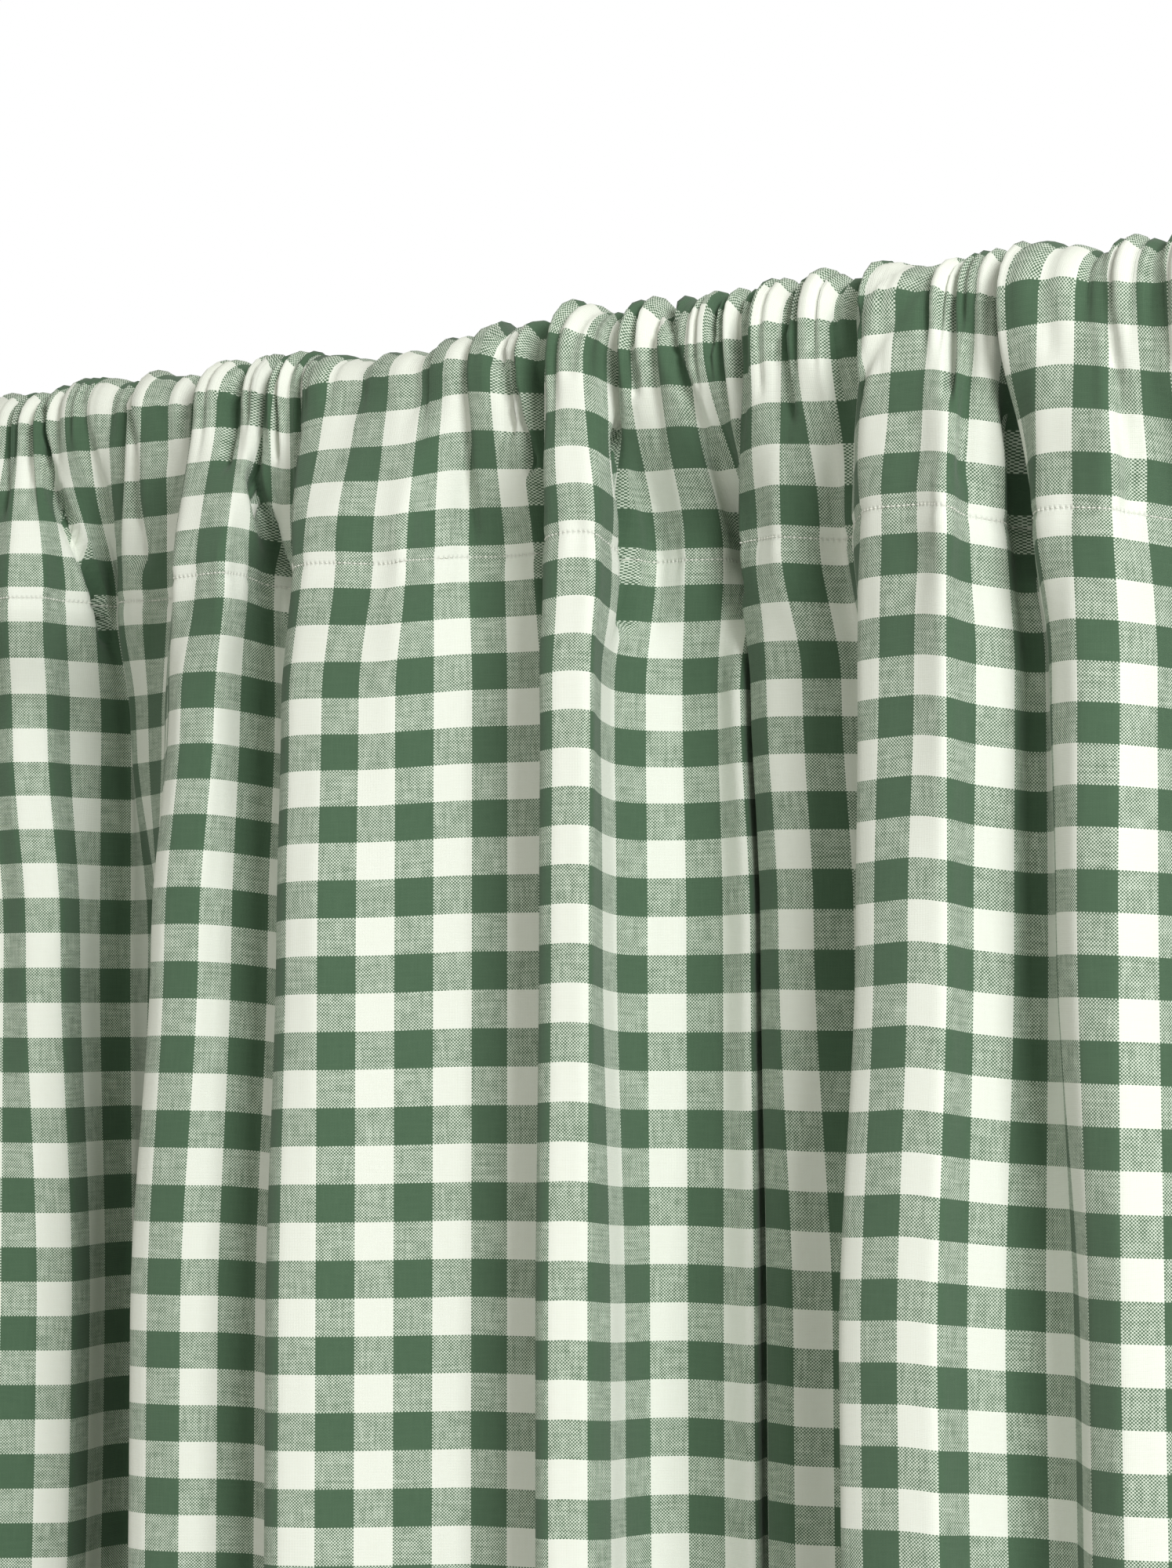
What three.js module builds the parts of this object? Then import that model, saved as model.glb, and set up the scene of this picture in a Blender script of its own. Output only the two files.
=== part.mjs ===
// A gathered rod-pocket curtain panel in gingham cloth, hanging in uneven folds.
//
// Millimetres, +Z up. The origin is at the middle of the top edge, 9 mm above
// the centre of the rod and in its plane. Most of the top edge lies level with
// it, and the crests of some gathers stand a little higher. X runs along the
// rod, and the side that is looked at faces -Y.
//
// The panel is one piece of cloth, so it is one closed solid: the front sheet
// rises from the hem, goes over the rod, comes down behind it and is sewn to
// its own back below the rod. Every height has a plan, which is a line in X
// and Y. At the rod that line is a row of small gathers, and lower down it
// is the line of the large folds.

import * as THREE from "three";

// ---- Driving dimensions ----

const DROP = 600; // origin to bottom hem
const CLOTH = 1.1; // thickness of one layer, with its loft
const ROD_HEIGHT = -9; // centre of the rod pocket
const POCKET_RADIUS = 8; // outside of the cloth round the rod, in a valley of the gathers
const SEAM_HEIGHT = -58; // where the pocket is sewn shut
const SEAM_STEP = 3.5; // margin of the pocket's back below its stitching
const SIDE_HEM = 12; // width of the double cloth at both side edges
const BOTTOM_HEM = 26; // depth of the double cloth at the bottom edge
const HEM_STEP = 2; // height over which the bottom hem's second layer ends

const LEFT_EDGE = -90; // place in the cloth of the left side edge
const ANCHOR = 250; // place in the cloth whose position is known
const ANCHOR_X = -30; // where that place hangs in the body of the curtain
const ANCHOR_Y = -9;
const ANCHOR_ROD_X = -26; // where it sits on the rod

const STEP = 0.5; // step along the cloth in which its line is worked out
const BEND = 2.5; // half the length over which one row of a table turns into the next
const PUFF_BEND = 1.5; // length over which the gathers' outline is smoothed
const FIRST_OUT = 1; // how far the left edge stands out from the pocket's radius
const CLOSEST = 2.4; // two columns of points stand no closer than this in the cloth
const NARROW = 9; // a gather wider than this has a column at its middle too
const HALFWAY = (ROD_HEIGHT + SEAM_HEIGHT) / 2; // a row of points between rod and seam
const STEEPEST = 2; // most by which a layer is thickened along Y on a steep slope
const GENTLE = 0.6; // below this share of a slope's run along X, it is thickened more squarely
const LEAN = 2; // how far the pocket's back leans off steep walls, so that layers stay apart
const ROUND_ROD = 3; // points between the front and the back of the rod

// Heights at which the folds are stated, below the seam.
const TOP = -93;
const MIDDLE = -154;
const LOW = -256;
const HEM_EASE = 0.95; // the folds open a little between LOW and the hem

// ---- Tables ----

function table(columns, rows) {
  return rows.map((row) => Object.fromEntries(columns.map((name, k) => [name, row[k]])));
}

// The folds, from the left edge to the right: the width of cloth in each
// section, and its angle in plan at four heights. 0 runs along the rod,
// plus runs away from the viewer to the right and minus towards the viewer.
const FOLDS = table(["width", "seam", "top", "middle", "low"], [
  // left end
  [22, 48, 48, 45, 42],
  [10, -10, -10, -10, -10],
  [24, -56, -56, -52, -50],
  [10, 10, 10, 10, 10],
  [24, 50, 50, 48, 45],
  // low ridge beside the left recess
  [10, -12, -12, -12, 45],
  [10, 45, 45, 42, 48],
  [10, 100, 100, 105, 107],
  [10, 68, 68, 103, 112],
  [10, 112, 80, 75, 88],
  // out of the recess and on to the first ridge
  [8, -50, -50, -20, -30],
  [8, -50, -50, -15, -45],
  [12, -18, -24, -47, -49],
  [14, 2, -24, -47, -49],
  [41, -46, -44, -48, -48],
  [7, 5, -25, -20, -10],
  [10, 2, 17, 20, 16],
  [10, 100, 95, 76, 42],
  [10, 94, 60, 55, 42],
  // wide ridge, with a long flat slope behind it
  [8, -28, -28, -15, -10],
  [3, 0, 0, 0, 0],
  [23, -52, -58, -60, -60],
  [6, -18, -30, -25, -15],
  [10, 9, 10, 6, 25],
  [10, 34, 28, 40, 42],
  [10, 8, 20, 40, 42],
  [10, 90, 45, 38, 40],
  [10, 66, 38, 40, 40],
  [10, 20, 14, 14, 15],
  [10, -4, 8, 13, 13],
  // sharp ridge, steep on its right
  [5, 10, 10, 10, -15],
  [20, -58, -66, -68, -66],
  [5, -5, -15, -15, -15],
  [10, 20, 22, 20, 32],
  [10, 106, 117, 112, 94],
  [10, 102, 110, 109, 108],
  [10, 90, 73, 76, 90],
  [10, -12, 58, 42, 52],
  [10, 30, 12, 18, 12],
  // shallow hollow, with a narrow tuck in it
  [10, 80, -28, -18, -10],
  [10, -66, 112, 114, 116],
  [10, -84, -78, -78, -72],
  [10, -20, -32, -28, -14],
  [10, -20, 10, 8, 32],
  [10, 40, 20, 32, -2],
  [6, 60, 45, 35, -60],
  // broad ridge
  [37, -51, -60, -66, -66],
  [7, -12, -15, -18, -10],
  [10, 4, 4, -4, 2],
  [10, -21, -14, 10, 12],
  [10, 100, 85, 91, 83],
  [10, 50, 50, 42, 58],
  // narrow ridge
  [6, 118, 95, 82, 50],
  [4, 0, 25, 0, 10],
  [8, -57, -57, -44, -5],
  [12, -58, -58, -62, -52],
  [10, -2, -25, -33, -50],
  [10, 8, 22, 12, -15],
  [10, 66, 62, 54, 30],
  // right end
  [14, 72, 72, 70, 70],
  [20, -45, -45, -45, -45],
  [12, 10, 10, 10, 10],
  [24, 50, 50, 50, 50],
  [20, -30, -30, -30, -20],
]);

// The gathers on the rod, from the left edge to the right: the width of cloth
// in each, the length of rod it takes up, how far its right side stands out
// from the pocket's radius, how far it puffs out on the way there, and how much
// further it stands up above the rod.
const GATHERS = table(["width", "along", "out", "puff", "rise"], [
  // left end
  [20, 15, 1, 3, 1],
  [16, 10, 1, 4, 1],
  [24, 19, 1, 3, 1],
  [14, 9, 1, 4, 1],
  [16, 13, 2, 2, 1],
  // small gathers by the left recess
  [18, 11, 0.5, 2, 0.5],
  [4, 1.5, 3.5, 0, 0],
  [11, 6.5, 1, 1.5, 1],
  [20, 15, 1.5, 1.5, 3.5],
  [14, 12.5, 0, 0.5, 3],
  // gather with a deep crease on its left
  [4, 1.5, 4.5, 0, 0],
  [15, 12, 2.5, 1, 0.5],
  [12, 10.5, 0, 0.5, 1],
  [32, 6, 5, -1, 0],
  // first ridge
  [18, 14, 1.2, 1.5, 1.5],
  [15, 9, 2.5, 1.5, 2.5],
  [4, 1, 4.5, 0, 0],
  [15, 5, 1.5, 1, 1.5],
  [12, 6.5, 0.3, 0.5, 3],
  [5, 1.5, 5, 0, 1],
  // wide ridge
  [20, 20, 3, 1, 0.5],
  [21, 22, 2, 1, 1],
  [19, 15, 1.5, 1.5, 1],
  [3, 1.5, 3, 0, 1.5],
  [15, 13, 0.5, 1, 2.5],
  [3, 1, 3, 0, 1],
  [8, 7.5, 0, 0.5, 3.5],
  [20, 7.5, 5.5, 0, 3.5],
  // sharp ridge
  [16, 12.5, 1, 1.5, 1.5],
  [11, 4, -0.5, 0, 2],
  [12, 4.5, 3, 0, 2],
  [10, 7.5, 0.5, 1, 3.5],
  [3, 2.8, 2, 0, 3],
  [12, 9, 1, 1, 3],
  [13, 7.5, 0.3, 0.5, 4.5],
  [18, 9.5, 0, 0.5, 5],
  // two narrow gathers
  [5, 3, 4, 0, 2],
  [14, 9.5, 1, 1, 3],
  [3, 1, 3, 0, 3],
  [25, 19, 0, 1.5, 4],
  [20, 4.5, 5.5, 0, 3],
  // broad ridge
  [18, 17, 3, 1, 0.5],
  [12, 6.5, 1.5, 1, 3],
  [8, 5.5, 2.5, 0.5, 4.5],
  [14, 8, 0, 0, 5],
  [16, 2, 6, 0, 2],
  // narrow ridge
  [27, 23.5, 2, 1.5, 0],
  [3, 1.8, 3, 0, 2],
  [15, 11.5, 1, 1, 2],
  [3, 2, 2, 0, 2],
  [16, 13.5, 1, 1.5, 2.5],
  // right end
  [16, 10, 1, 3, 1],
  [20, 14, 1, 3, 1],
  [16, 11, 1, 3, 1],
  [16, 12, 1, 2, 1],
]);

// ---- The line of the cloth in plan ----

function edgesOf(rows) {
  const edges = [LEFT_EDGE];
  for (const row of rows) {
    edges.push(edges[edges.length - 1] + row.width);
  }
  return edges;
}

const FOLD_EDGES = edgesOf(FOLDS);
const GATHER_EDGES = edgesOf(GATHERS);
const RIGHT_EDGE = FOLD_EDGES[FOLD_EDGES.length - 1];
const SAMPLES = Math.round((RIGHT_EDGE - LEFT_EDGE) / STEP) + 1;

function indexOf(place) {
  return Math.round((place - LEFT_EDGE) / STEP);
}

function rowAt(edges, place) {
  const k = edges.findIndex((edge) => edge > place) - 1;
  return k < 0 ? edges.length - 2 : k;
}

// The mean of each value and its neighbours within half the given width.
function smoothed(values, width) {
  const reach = Math.round(width / STEP / 2);
  return values.map((_, i) => {
    let sum = 0;
    for (let k = -reach; k <= reach; k += 1) {
      sum += values[THREE.MathUtils.clamp(i + k, 0, values.length - 1)];
    }
    return sum / (2 * reach + 1);
  });
}

// The folds' line at one height: its angle is stepped from the table, smoothed,
// and followed along the cloth, so that no width of cloth is lost.
function foldLine(angleOf) {
  let angles = [];
  for (let i = 0; i < SAMPLES; i += 1) {
    angles.push(angleOf(FOLDS[rowAt(FOLD_EDGES, LEFT_EDGE + i * STEP)]));
  }
  angles = smoothed(smoothed(angles, BEND), BEND).map(THREE.MathUtils.degToRad);
  const points = [new THREE.Vector2(0, 0)];
  for (let i = 1; i < SAMPLES; i += 1) {
    const forward = new THREE.Vector2(
      (Math.cos(angles[i - 1]) + Math.cos(angles[i])) / 2,
      (Math.sin(angles[i - 1]) + Math.sin(angles[i])) / 2,
    );
    points.push(points[i - 1].clone().addScaledVector(forward, STEP));
  }
  const shift = new THREE.Vector2(ANCHOR_X, ANCHOR_Y).sub(points[indexOf(ANCHOR)]);
  return points.map((point) => point.add(shift));
}

// The gathers on the rod: for each place in the cloth, where it is along the
// rod (x), how far it stands out from the pocket's radius (y), and how much
// further it stands up above the rod (z).
function gatherLine() {
  const starts = [0];
  const outs = [FIRST_OUT];
  for (const row of GATHERS) {
    starts.push(starts[starts.length - 1] + row.along);
    outs.push(row.out);
  }
  let along = [];
  let out = [];
  let rise = [];
  for (let i = 0; i < SAMPLES; i += 1) {
    const place = LEFT_EDGE + i * STEP;
    const k = rowAt(GATHER_EDGES, place);
    const share = (place - GATHER_EDGES[k]) / GATHERS[k].width;
    const eased = THREE.MathUtils.smoothstep(share, 0, 1);
    along.push(THREE.MathUtils.lerp(starts[k], starts[k + 1], share));
    const puff = GATHERS[k].puff * Math.sin(Math.PI * share);
    out.push(THREE.MathUtils.lerp(outs[k], outs[k + 1], eased) + puff);
    rise.push(GATHERS[k].rise);
  }
  along = smoothed(along, BEND);
  out = smoothed(out, PUFF_BEND);
  rise = smoothed(rise, 2 * BEND);
  const shift = ANCHOR_ROD_X - along[indexOf(ANCHOR)];
  return along.map((x, i) => new THREE.Vector3(x + shift, out[i], rise[i]));
}

const ROD_LINE = gatherLine();
const SEAM_LINE = foldLine((row) => row.seam);
const TOP_LINE = foldLine((row) => row.top);
const MIDDLE_LINE = foldLine((row) => row.middle);
const LOW_LINE = foldLine((row) => row.low);
const HEM_LINE = foldLine((row) => row.low * HEM_EASE);

// Each span of height blends one line into the next.
const SPANS = [
  { from: ROD_HEIGHT, to: SEAM_HEIGHT, upper: ROD_LINE.map(frontOfRod), lower: SEAM_LINE },
  { from: SEAM_HEIGHT, to: TOP, upper: SEAM_LINE, lower: TOP_LINE },
  { from: TOP, to: MIDDLE, upper: TOP_LINE, lower: MIDDLE_LINE },
  { from: MIDDLE, to: LOW, upper: MIDDLE_LINE, lower: LOW_LINE },
  { from: LOW, to: -DROP, upper: LOW_LINE, lower: HEM_LINE },
];

function frontOfRod(gather) {
  return new THREE.Vector2(gather.x, -POCKET_RADIUS - gather.y);
}

function planPoint(place, height) {
  const i = THREE.MathUtils.clamp(indexOf(place), 0, SAMPLES - 1);
  const span = SPANS.find((one) => height >= one.to) ?? SPANS[SPANS.length - 1];
  const share = THREE.MathUtils.smoothstep(span.from - height, 0, span.from - span.to);
  return span.upper[i].clone().lerp(span.lower[i], share);
}

// ---- Points of the solid ----

// Columns of points stand at the edges of the folds and gathers, and at the
// middles of the wider gathers, where these aren't too close together.
function columnPlaces() {
  const middles = GATHERS.flatMap((row, k) => {
    const middle = GATHER_EDGES[k] + row.width / 2;
    return row.width > NARROW ? [middle] : [];
  });
  const hems = [LEFT_EDGE + SIDE_HEM, RIGHT_EDGE - SIDE_HEM];
  const kept = [LEFT_EDGE, RIGHT_EDGE];
  for (const place of [...FOLD_EDGES, ...GATHER_EDGES, ...hems, ...middles]) {
    if (kept.every((other) => Math.abs(place - other) >= CLOSEST)) {
      kept.push(place);
    }
  }
  return kept.sort((a, b) => a - b);
}

const COLUMNS = columnPlaces();

// The way along the cloth, to the right.
function alongAt(column, height) {
  const before = planPoint(COLUMNS[Math.max(column - 1, 0)], height);
  const after = planPoint(COLUMNS[Math.min(column + 1, COLUMNS.length - 1)], height);
  return after.sub(before).normalize();
}

// The way through the cloth from front to back. Up to the seam it is square to
// the cloth. In the tight gathers above, it is along Y, and longer on a steep
// slope, so that no two walls cross.
function backward(column, height) {
  const along = alongAt(column, height);
  const back = new THREE.Vector2(-along.y, along.x);
  const straight = new THREE.Vector2(0, 1 / Math.max(along.x, 1 / STEEPEST));
  const gathered = THREE.MathUtils.smoothstep(height, SEAM_HEIGHT, HALFWAY);
  return back.lerp(straight, gathered * THREE.MathUtils.smoothstep(along.x, 0, GENTLE));
}

// A point on the front sheet, moved back through the cloth by depth.
function sheetPoint(column, height, depth) {
  const here = planPoint(COLUMNS[column], height);
  here.addScaledVector(backward(column, height), depth);
  return new THREE.Vector3(here.x, here.y, height);
}

// A point on the cloth round the rod: angle 0 is the front and 180 the back.
function rodPoint(column, angle, depth) {
  const gather = ROD_LINE[indexOf(COLUMNS[column])];
  const turn = THREE.MathUtils.degToRad(angle);
  const radius = POCKET_RADIUS + gather.y - depth + gather.z * Math.sin(turn) ** 2;
  const y = -radius * Math.cos(turn);
  return new THREE.Vector3(gather.x, y, ROD_HEIGHT + radius * Math.sin(turn));
}

// Rows of the single sheet below the pocket: their heights from the hem up, and
// how many layers of cloth lie there.
const BODY_ROWS = table(["height", "layers"], [
  [-DROP, 2],
  [-DROP + BOTTOM_HEM, 2],
  [-DROP + BOTTOM_HEM + HEM_STEP, 1],
  [LOW, 1],
  [(LOW + MIDDLE) / 2, 1],
  [MIDDLE, 1],
  [TOP, 1],
  [(TOP + SEAM_HEIGHT) / 2, 1],
  [SEAM_HEIGHT - SEAM_STEP, 1],
  [SEAM_HEIGHT, 2],
]);

// The section of the panel at one column: the front and back of the sheet up to
// the seam, and the outside (rim) and inside (wall) of the pocket. The rim
// starts and ends on the sheet's top row, and the wall in one point of the seam.
function section(column) {
  const place = COLUMNS[column];
  const atSide = place <= LEFT_EDGE + SIDE_HEM || place >= RIGHT_EDGE - SIDE_HEM;
  const front = BODY_ROWS.map((row) => sheetPoint(column, row.height, 0));
  const back = BODY_ROWS.map((row) => {
    const layers = atSide ? 2 : row.layers;
    return sheetPoint(column, row.height, layers * CLOTH);
  });
  const frontTop = front[front.length - 1];
  const backTop = back[back.length - 1];
  const behind = backTop.clone().lerp(rodPoint(column, 180, 0), 0.5).setZ(HALFWAY);
  behind.x -= LEAN * alongAt(column, HALFWAY).y;
  const inwards = backward(column, HALFWAY).multiplyScalar(-CLOTH);
  const rim = [frontTop, sheetPoint(column, HALFWAY, 0)];
  const seam = sheetPoint(column, SEAM_HEIGHT + CLOTH, CLOTH);
  const wall = [seam, sheetPoint(column, HALFWAY, CLOTH)];
  for (let k = 0; k <= ROUND_ROD + 1; k += 1) {
    const angle = (180 * k) / (ROUND_ROD + 1);
    rim.push(rodPoint(column, angle, 0));
    wall.push(rodPoint(column, angle, CLOTH));
  }
  rim.push(behind, backTop);
  wall.push(behind.clone().add(new THREE.Vector3(inwards.x, inwards.y, 0)), seam);
  return { front, back, rim, wall };
}

// ---- The solid ----

function panelGeometry() {
  const sections = COLUMNS.map((_, column) => section(column));
  const first = sections[0];
  const last = sections[sections.length - 1];
  const vertices = [];
  const triangles = [];
  const numbers = new Map();

  function number(point) {
    if (!numbers.has(point)) {
      numbers.set(point, vertices.length / 3);
      vertices.push(point.x, point.y, point.z);
    }
    return numbers.get(point);
  }

  function face(a, b, c) {
    triangles.push(number(a), number(b), number(c));
  }

  // Four points in turn, seen from the right side or from the wrong one, cut
  // into two triangles along the shorter way across, which keeps tight folds clear.
  function quad(a, b, c, d, facing) {
    const across = a.distanceTo(c) > b.distanceTo(d);
    const [p, q, r, s] = across ? [b, c, d, a] : [a, b, c, d];
    if (facing) {
      face(p, q, r);
      face(p, r, s);
    } else {
      face(p, r, q);
      face(p, s, r);
    }
  }

  // A skin through rows of points, from one side edge of the panel to the other.
  function skin(rowsOf, facing) {
    const columns = sections.map(rowsOf);
    for (let i = 0; i + 1 < columns.length; i += 1) {
      const here = columns[i];
      const next = columns[i + 1];
      for (let k = 0; k + 1 < here.length; k += 1) {
        quad(here[k], next[k], next[k + 1], here[k + 1], facing);
      }
    }
  }

  // The edge between two lines of points, at one side of the panel.
  function edge(outer, inner, facing) {
    for (let k = 0; k + 1 < outer.length; k += 1) {
      quad(outer[k], outer[k + 1], inner[k + 1], inner[k], facing);
    }
  }

  skin((one) => one.front, true);
  skin((one) => one.back, false);
  skin((one) => [one.back[0], one.front[0]], true);
  skin((one) => one.rim, true);
  skin((one) => one.wall, false);
  for (const one of [first, last]) {
    const leftwards = one === first;
    edge(one.front, one.back, leftwards);
    edge(one.rim, one.wall, leftwards);
    const corner = [one.rim[0], one.wall[0], one.rim[one.rim.length - 1]];
    face(...(leftwards ? corner : corner.reverse()));
  }

  const geometry = new THREE.BufferGeometry();
  geometry.setAttribute("position", new THREE.Float32BufferAttribute(vertices, 3));
  geometry.setIndex(triangles);
  geometry.computeVertexNormals();
  return geometry;
}

function curtainPanel() {
  const cotton = new THREE.MeshStandardMaterial({ color: 0x9fb5a0, roughness: 0.9, metalness: 0 });
  const mesh = new THREE.Mesh(panelGeometry(), cotton);
  mesh.name = "curtain_panel";
  return mesh;
}

const curtain = new THREE.Group();
curtain.add(curtainPanel());

export default curtain;
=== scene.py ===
# %% [markdown]
# # A gathered gingham curtain panel
#
# The real thing is one length of woven cotton. Its top is folded over and
# stitched into a pocket, the pocket is pushed on to a rod, and the cloth
# crowds into small gathers there. Lower down the gathers open into a few
# large, uneven folds. This lesson makes that cloth in Blender from a few short
# tables, then weaves its checks in a material and sews its stitches on.
#
# The CAD model of the panel is loaded first. It is a plain solid with nearly
# the same folds, and the cloth made here hangs in the same place.

# %% Load the frame
import math

import bpy
import numpy as np
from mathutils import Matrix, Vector


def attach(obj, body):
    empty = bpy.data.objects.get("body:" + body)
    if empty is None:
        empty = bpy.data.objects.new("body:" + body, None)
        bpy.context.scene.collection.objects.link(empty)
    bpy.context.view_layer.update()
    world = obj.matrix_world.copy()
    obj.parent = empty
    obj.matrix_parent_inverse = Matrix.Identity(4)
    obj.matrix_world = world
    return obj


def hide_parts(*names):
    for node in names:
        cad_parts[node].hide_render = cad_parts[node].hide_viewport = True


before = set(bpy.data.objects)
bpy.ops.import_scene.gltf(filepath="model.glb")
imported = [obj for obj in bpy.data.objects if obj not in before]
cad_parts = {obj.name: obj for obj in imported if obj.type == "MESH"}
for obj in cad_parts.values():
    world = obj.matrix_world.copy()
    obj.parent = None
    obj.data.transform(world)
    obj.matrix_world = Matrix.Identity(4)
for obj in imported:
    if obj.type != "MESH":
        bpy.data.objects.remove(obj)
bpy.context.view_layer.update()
MM = 0.001  # every size below is in millimetres, and meshes are in metres


# %% [markdown]
# ## Camera
#
# The curtain is seen from its right, from about a metre away and slightly
# from below, so its top edge climbs towards the right of the view. A 90 mm
# lens keeps that climb gentle. The camera could be aimed with a constraint,
# but a plain rotation is easier to read: X tips it up from straight down, and
# Z turns it to the left.

# %% Place the camera
CAMERA_PLACE = (624.8, -783.0, -174.5)
CAMERA_TILT = 93.32
CAMERA_TURN = 38.0
CAMERA_LENS = 90
CAMERA_SENSOR = 36
CAMERA_NEAR, CAMERA_FAR = 0.01, 50  # metres

lens = bpy.data.cameras.new("camera")
lens.lens = CAMERA_LENS
lens.sensor_width = CAMERA_SENSOR
lens.clip_start = CAMERA_NEAR
lens.clip_end = CAMERA_FAR
camera = bpy.data.objects.new("camera", lens)
camera.location = [v * MM for v in CAMERA_PLACE]
camera.rotation_euler = (math.radians(CAMERA_TILT), 0, math.radians(CAMERA_TURN))
bpy.context.scene.collection.objects.link(camera)
bpy.context.scene.camera = camera
print("camera distance from the rod in m:", round(math.dist(camera.location, (0, 0, 0)), 3))

# %% [markdown]
# ## Sizes of the cloth
#
# These are the sizes a maker would write down. A point's `place` is measured
# across the flat cloth, from a thread near its left edge, and doesn't change
# however the cloth is folded.

# %% Sizes in millimetres
DROP = 600  # origin to bottom hem
ROD_HEIGHT = -9  # centre of the rod pocket
POCKET_RADIUS = 8  # outside of the cloth round the rod, where it lies tight
SEAM_HEIGHT = -58  # where the pocket's back meets the front
STITCHING = -59  # the line of stitches that holds it there
POCKET_END = -61.5  # lower edge of the pocket's back
SIDE_HEM = 12
BOTTOM_HEM = 26
LEFT_EDGE = -90  # the cloth's left edge, as a place
THICKNESS = 0.45  # one layer of cloth
LAYER = 0.75  # from one layer of a hem to the next
CHECK_WIDE = 10.0  # one check across the cloth
CHECK_TALL = 9.67  # and down it: the weft is packed a little closer
print("drop:", DROP, "pocket:", -STITCHING, "check:", CHECK_WIDE, "by", CHECK_TALL)

# %% [markdown]
# ## The folds, in two tables
#
# Cloth doesn't stretch much, so its folds are best described by turning, not
# by place: walk across the cloth and write down for each stretch how wide it
# is and which way it heads, seen from above. The first table does that at four
# heights. The second describes the small gathers on the rod: how much cloth
# each one takes, how much rod it covers and how far it stands out. Sculpting
# by hand would also work, but a table can be corrected one fold at a time.

# %% Headings of the cloth, in degrees
FOLD_COLUMNS = ["width", "seam", "top", "middle", "low"]
FOLDS = [
    # left end
    (22, 48, 48, 45, 42),
    (10, -10, -10, -10, -10),
    (24, -56, -56, -52, -50),
    (10, 10, 10, 10, 10),
    (24, 50, 50, 48, 45),
    # low ridge beside the left recess
    (10, -12, -12, -12, 45),
    (10, 45, 45, 42, 48),
    (10, 100, 100, 105, 107),
    (10, 68, 68, 103, 112),
    (10, 112, 80, 75, 88),
    # out of the recess and on to the first ridge
    (8, -50, -50, -20, -30),
    (8, -50, -50, -15, -45),
    (12, -18, -24, -47, -49),
    (14, 2, -24, -47, -49),
    (41, -46, -44, -48, -48),
    (7, 5, -25, -20, -10),
    (10, 2, 17, 20, 16),
    (10, 100, 95, 76, 42),
    (10, 94, 60, 55, 42),
    # wide ridge, with a long flat slope behind it
    (8, -28, -28, -15, -10),
    (3, 0, 0, 0, 0),
    (23, -52, -58, -60, -60),
    (6, -18, -30, -25, -15),
    (10, 9, 10, 6, 25),
    (10, 34, 28, 40, 42),
    (10, 8, 20, 40, 42),
    (10, 90, 45, 38, 40),
    (10, 66, 38, 40, 40),
    (10, 20, 14, 14, 15),
    (10, -4, 8, 13, 13),
    # sharp ridge, steep on its right
    (5, 10, 10, 10, -15),
    (20, -58, -66, -68, -66),
    (5, -5, -15, -15, -15),
    (10, 20, 22, 20, 32),
    (10, 106, 117, 112, 94),
    (10, 102, 110, 109, 108),
    (10, 90, 73, 76, 90),
    (10, -12, 58, 42, 52),
    (10, 30, 12, 18, 12),
    # shallow hollow, with a narrow tuck in it
    (10, 80, -28, -18, -10),
    (10, -66, 112, 114, 116),
    (10, -84, -78, -78, -72),
    (10, -20, -32, -28, -14),
    (10, -20, 10, 8, 32),
    (10, 40, 20, 32, -2),
    (6, 60, 45, 35, -60),
    # broad ridge
    (37, -51, -60, -66, -66),
    (7, -12, -15, -18, -10),
    (10, 4, 4, -4, 2),
    (10, -21, -14, 10, 12),
    (10, 100, 85, 91, 83),
    (10, 50, 50, 42, 58),
    # narrow ridge
    (6, 118, 95, 82, 50),
    (4, 0, 25, 0, 10),
    (8, -57, -57, -44, -5),
    (12, -58, -58, -62, -52),
    (10, -2, -25, -33, -50),
    (10, 8, 22, 12, -15),
    (10, 66, 62, 54, 30),
    # right end
    (14, 72, 72, 70, 70),
    (20, -45, -45, -45, -45),
    (12, 10, 10, 10, 10),
    (24, 50, 50, 50, 50),
    (20, -30, -30, -30, -20),
]


def by_column(names, rows):
    """The table as a dictionary: each column's name to an array of its numbers."""
    return dict(zip(names, np.array(rows, dtype=float).T))


folds = by_column(FOLD_COLUMNS, FOLDS)
RIGHT_EDGE = LEFT_EDGE + folds["width"].sum()
print(len(FOLDS), "stretches of cloth, in all", RIGHT_EDGE - LEFT_EDGE, "mm across")

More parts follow.
